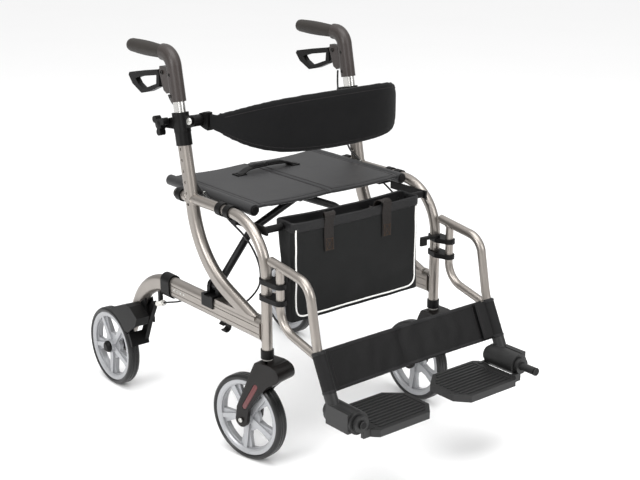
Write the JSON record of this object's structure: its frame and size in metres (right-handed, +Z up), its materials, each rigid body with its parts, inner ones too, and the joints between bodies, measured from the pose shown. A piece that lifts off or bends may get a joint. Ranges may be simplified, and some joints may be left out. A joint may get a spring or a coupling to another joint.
{
  "type": "rollator transport chair",
  "caption": "Folding wheeled walker that turns into a transport chair, with bent tube side frames, swing-away foot hangers, loop brakes, flip-over backrest band and a bag.",
  "frame": {"origin": "centre of the footprint box on the floor under the wheels", "axes": "+Z up, -Y is the front with the footplates, -X is the side of a seated person's right hand"},
  "size_m": [0.616, 1.049, 0.8901],
  "materials": {
    "frame_paint": "satin metallic champagne grey powder coat",
    "black_plastic": "fine-grained moulded black plastic",
    "grip_rubber": "matt black rubber",
    "tyre_rubber": "matt black solid tyre",
    "rim_grey": "pale silver moulded rim",
    "silver_tube": "satin anodised tube",
    "black_steel": "black powder coat",
    "black_cloth": "black coated cloth"
  },
  "bodies": {
    "right_frame": {"right_arch_tube": "frame_paint", "right_rear_post": "frame_paint", "right_lower_rail": "frame_paint", "right_rear_leg": "frame_paint", "right_post_clamp": "black_plastic", "right_fittings": "black_plastic", "right_hanger_clamps": "black_plastic", "right_brake_box": "black_plastic", "right_brake_cable": "grip_rubber", "bag": "black_cloth"},
    "left_frame": {"left_arch_tube": "frame_paint", "left_rear_post": "frame_paint", "left_lower_rail": "frame_paint", "left_rear_leg": "frame_paint", "left_post_clamp": "black_plastic", "left_fittings": "black_plastic", "left_hanger_clamps": "black_plastic", "left_brake_box": "black_plastic", "left_brake_cable": "grip_rubber"},
    "right_brace": {"right_brace": "black_steel"},
    "right_seat": {"right_seat": "black_cloth"},
    "right_handle": {"right_handle_tube": "silver_tube", "right_housing": "black_plastic", "right_grip": "grip_rubber"},
    "right_lever": {"right_brake_lever": "black_plastic"},
    "right_shoe": {"right_brake_shoe": "black_plastic"},
    "right_knob": {"right_height_knob": "black_plastic"},
    "right_caster": {"right_caster_fork": "black_plastic"},
    "right_caster_wheel": {"right_caster_rim": "rim_grey", "right_caster_tyre": "tyre_rubber"},
    "right_rear_wheel": {"right_rear_rim": "rim_grey", "right_rear_tyre": "tyre_rubber", "right_hub_cap": "black_plastic"},
    "right_hanger": {"right_hanger": "frame_paint", "right_foot_hinge": "black_plastic", "right_calf_band": "black_cloth"},
    "right_release": {"right_release_lever": "black_plastic"},
    "right_plate": {"right_footplate": "black_plastic"},
    "left_brace": {"left_brace": "black_steel"},
    "left_seat": {"left_seat": "black_cloth"},
    "left_handle": {"left_handle_tube": "silver_tube", "left_housing": "black_plastic", "left_grip": "grip_rubber"},
    "left_lever": {"left_brake_lever": "black_plastic"},
    "left_shoe": {"left_brake_shoe": "black_plastic"},
    "left_knob": {"left_height_knob": "black_plastic"},
    "left_caster": {"left_caster_fork": "black_plastic"},
    "left_caster_wheel": {"left_caster_rim": "rim_grey", "left_caster_tyre": "tyre_rubber"},
    "left_rear_wheel": {"left_rear_rim": "rim_grey", "left_rear_tyre": "tyre_rubber", "left_hub_cap": "black_plastic"},
    "left_hanger": {"left_hanger": "frame_paint", "left_foot_hinge": "black_plastic", "left_calf_band": "black_cloth"},
    "left_release": {"left_release_lever": "black_plastic"},
    "left_plate": {"left_footplate": "black_plastic"},
    "backrest": {"backrest_band": "black_cloth", "right_back_block": "black_plastic"},
    "backrest_end": {"left_back_block": "black_plastic"}
  },
  "joints": [
    {"name": "fold", "type": "hinge", "parent": "right_frame", "child": "right_brace", "pos_m": [-0.233, 0.024, 0.358], "axis": [0, -1, 0], "range_deg": [0, 29.5], "deforming": ["right_seat", "left_seat", "bag", "backrest_band", "right_calf_band", "left_calf_band"]},
    {"name": "knee", "type": "hinge", "parent": "right_brace", "child": "left_brace", "pos_m": [0, 0.0355, 0.53], "axis": [0, -1, 0], "range_deg": [-59, 0]},
    {"name": "left_base", "type": "hinge", "parent": "left_brace", "child": "left_frame", "pos_m": [0.233, 0.047, 0.358], "axis": [0, -1, 0], "range_deg": [0, 29.5]},
    {"name": "right_seat_fold", "type": "hinge", "parent": "right_frame", "child": "right_seat", "pos_m": [-0.215, 0.0685, 0.561], "axis": [0, -1, 0], "range_deg": [0, 62.54]},
    {"name": "right_height", "type": "slide", "parent": "right_frame", "child": "right_handle", "axis": [0, 0.1908, 0.9816], "range_m": [0, 0.125], "deforming": ["right_brake_cable"]},
    {"name": "right_brake", "type": "hinge", "parent": "right_handle", "child": "right_lever", "pos_m": [-0.248, 0.1905, 0.826], "axis": [1, 0, 0], "range_deg": [0, 14], "stiffness_Nm_per_rad": 1.2, "springref_deg": -5.73},
    {"name": "right_shoe_rock", "type": "hinge", "parent": "right_frame", "child": "right_shoe", "pos_m": [-0.248, 0.3045, 0.198], "axis": [1, 0, 0], "range_deg": [0, 3.8]},
    {"name": "right_knob_turn", "type": "hinge", "parent": "right_frame", "child": "right_knob", "pos_m": [-0.248, 0.1785, 0.712], "axis": [1, 0, 0], "range_deg": [-180, 180]},
    {"name": "right_swivel", "type": "hinge", "parent": "right_frame", "child": "right_caster", "pos_m": [-0.248, -0.1815, 0.262], "axis": [0, 0, 1], "continuous": true},
    {"name": "right_caster_spin", "type": "hinge", "parent": "right_caster", "child": "right_caster_wheel", "pos_m": [-0.25944, -0.1277, 0.1], "axis": [0.9781, 0.2079, 0], "continuous": true},
    {"name": "right_wheel_spin", "type": "hinge", "parent": "right_frame", "child": "right_rear_wheel", "pos_m": [-0.28, 0.4245, 0.1], "axis": [1, 0, 0], "continuous": true},
    {"name": "right_swing", "type": "hinge", "parent": "right_frame", "child": "right_hanger", "pos_m": [-0.248, -0.2295, 0.4], "axis": [0, 0, -1], "range_deg": [0, 90]},
    {"name": "right_release_turn", "type": "hinge", "parent": "right_frame", "child": "right_release", "pos_m": [-0.233, -0.2035, 0.446], "axis": [0, 0, -1], "range_deg": [0, 20], "stiffness_Nm_per_rad": 0.3, "springref_deg": -5.73},
    {"name": "right_plate_flip", "type": "hinge", "parent": "right_hanger", "child": "right_plate", "pos_m": [-0.236, -0.4415, 0.203], "axis": [0, -1, 0], "range_deg": [0, 88.5]},
    {"name": "left_seat_fold", "type": "hinge", "parent": "left_frame", "child": "left_seat", "pos_m": [0.215, 0.0685, 0.561], "axis": [0, 1, 0], "range_deg": [0, 62.54]},
    {"name": "left_height", "type": "slide", "parent": "left_frame", "child": "left_handle", "axis": [0, 0.1908, 0.9816], "range_m": [0, 0.125], "deforming": ["left_brake_cable"]},
    {"name": "left_brake", "type": "hinge", "parent": "left_handle", "child": "left_lever", "pos_m": [0.248, 0.1905, 0.826], "axis": [1, 0, 0], "range_deg": [0, 14], "stiffness_Nm_per_rad": 1.2, "springref_deg": -5.73},
    {"name": "left_shoe_rock", "type": "hinge", "parent": "left_frame", "child": "left_shoe", "pos_m": [0.248, 0.3045, 0.198], "axis": [1, 0, 0], "range_deg": [0, 3.8]},
    {"name": "left_knob_turn", "type": "hinge", "parent": "left_frame", "child": "left_knob", "pos_m": [0.248, 0.1785, 0.712], "axis": [1, 0, 0], "range_deg": [-180, 180]},
    {"name": "left_swivel", "type": "hinge", "parent": "left_frame", "child": "left_caster", "pos_m": [0.248, -0.1815, 0.262], "axis": [0, 0, 1], "continuous": true},
    {"name": "left_caster_spin", "type": "hinge", "parent": "left_caster", "child": "left_caster_wheel", "pos_m": [0.248, -0.1265, 0.1], "axis": [1, 0, 0], "continuous": true},
    {"name": "left_wheel_spin", "type": "hinge", "parent": "left_frame", "child": "left_rear_wheel", "pos_m": [0.28, 0.4245, 0.1], "axis": [1, 0, 0], "continuous": true},
    {"name": "left_swing", "type": "hinge", "parent": "left_frame", "child": "left_hanger", "pos_m": [0.248, -0.2295, 0.4], "axis": [0, 0, 1], "range_deg": [0, 90]},
    {"name": "left_release_turn", "type": "hinge", "parent": "left_frame", "child": "left_release", "pos_m": [0.233, -0.2035, 0.446], "axis": [0, 0, 1], "range_deg": [0, 20], "stiffness_Nm_per_rad": 0.3, "springref_deg": -5.73},
    {"name": "left_plate_flip", "type": "hinge", "parent": "left_hanger", "child": "left_plate", "pos_m": [0.236, -0.4415, 0.203], "axis": [0, 1, 0], "range_deg": [0, 88.5]},
    {"name": "backrest_flip", "type": "hinge", "parent": "right_frame", "child": "backrest", "pos_m": [-0.228, 0.0785, 0.733], "axis": [-1, 0, 0], "range_deg": [0, 170]},
    {"name": "backrest_end_flip", "type": "hinge", "parent": "left_frame", "child": "backrest_end", "pos_m": [0.228, 0.0785, 0.733], "axis": [-1, 0, 0], "range_deg": [0, 170]}
  ],
  "couplings": [
    {"joint": "knee", "follows": "fold", "ratio": -2},
    {"joint": "left_base", "follows": "fold", "ratio": 1},
    {"joint": "right_seat_fold", "follows": "fold", "ratio": 2.12},
    {"joint": "right_shoe_rock", "follows": "right_brake", "ratio": 0.27143},
    {"joint": "right_plate_flip", "follows": "fold", "ratio": 3},
    {"joint": "left_seat_fold", "follows": "fold", "ratio": 2.12},
    {"joint": "left_shoe_rock", "follows": "left_brake", "ratio": 0.27143},
    {"joint": "left_plate_flip", "follows": "fold", "ratio": 3},
    {"joint": "backrest_end_flip", "follows": "backrest_flip", "ratio": 1}
  ]
}
